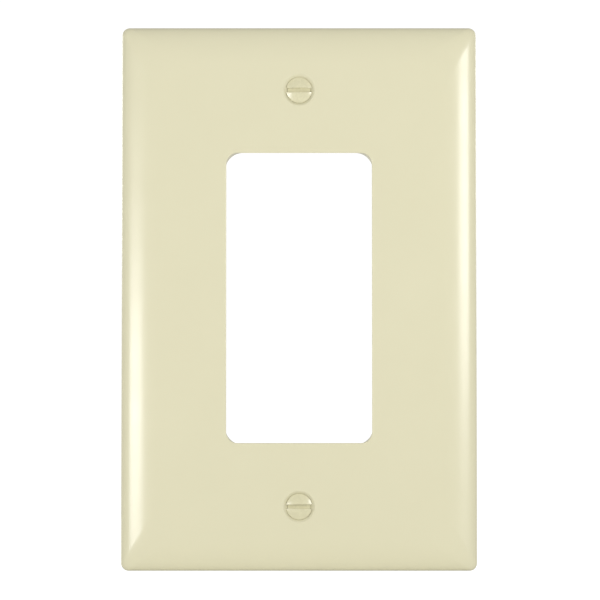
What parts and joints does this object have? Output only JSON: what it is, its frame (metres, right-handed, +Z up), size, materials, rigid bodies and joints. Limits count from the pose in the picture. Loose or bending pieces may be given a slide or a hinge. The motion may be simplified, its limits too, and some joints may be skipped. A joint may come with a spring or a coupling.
{
  "type": "wall plate",
  "caption": "Shallow ivory wall plate with rolled edges, a rounded rectangular device opening, countersunk screw holes and captive slotted oval-head screws.",
  "frame": {"origin": "centre of the device opening, on the wall plane that the plate's rim rests on", "axes": "+Z up the wall, along the plate's height; +X across the plate, to the right as seen from the front; -Y out of the wall, the way the plate faces"},
  "size_m": [0.0828, 0.0132, 0.1266],
  "materials": {
    "ivory_plastic": "satin",
    "ivory_paint": "satin",
    "zinc_plate": "satin",
    "washer_paper": "matte"
  },
  "bodies": {
    "plate": {"wall_plate": "ivory_plastic"},
    "upper_washer": {"upper_retaining_washer": "washer_paper"},
    "upper_screw": {"upper_screw": "ivory_paint"},
    "lower_washer": {"lower_retaining_washer": "washer_paper"},
    "lower_screw": {"lower_screw": "ivory_paint"}
  },
  "joints": [
    {"name": "upper_screw_travel", "type": "slide", "parent": "plate", "child": "upper_washer", "axis": [0, -1, 0], "range_m": [0, 0.0022]},
    {"name": "upper_screw_turn", "type": "hinge", "parent": "upper_washer", "child": "upper_screw", "pos_m": [0, 0, 0.04842], "axis": [0, -1, 0], "continuous": true},
    {"name": "lower_screw_travel", "type": "slide", "parent": "plate", "child": "lower_washer", "axis": [0, -1, 0], "range_m": [0, 0.0022]},
    {"name": "lower_screw_turn", "type": "hinge", "parent": "lower_washer", "child": "lower_screw", "pos_m": [0, 0, -0.04842], "axis": [0, -1, 0], "continuous": true}
  ]
}
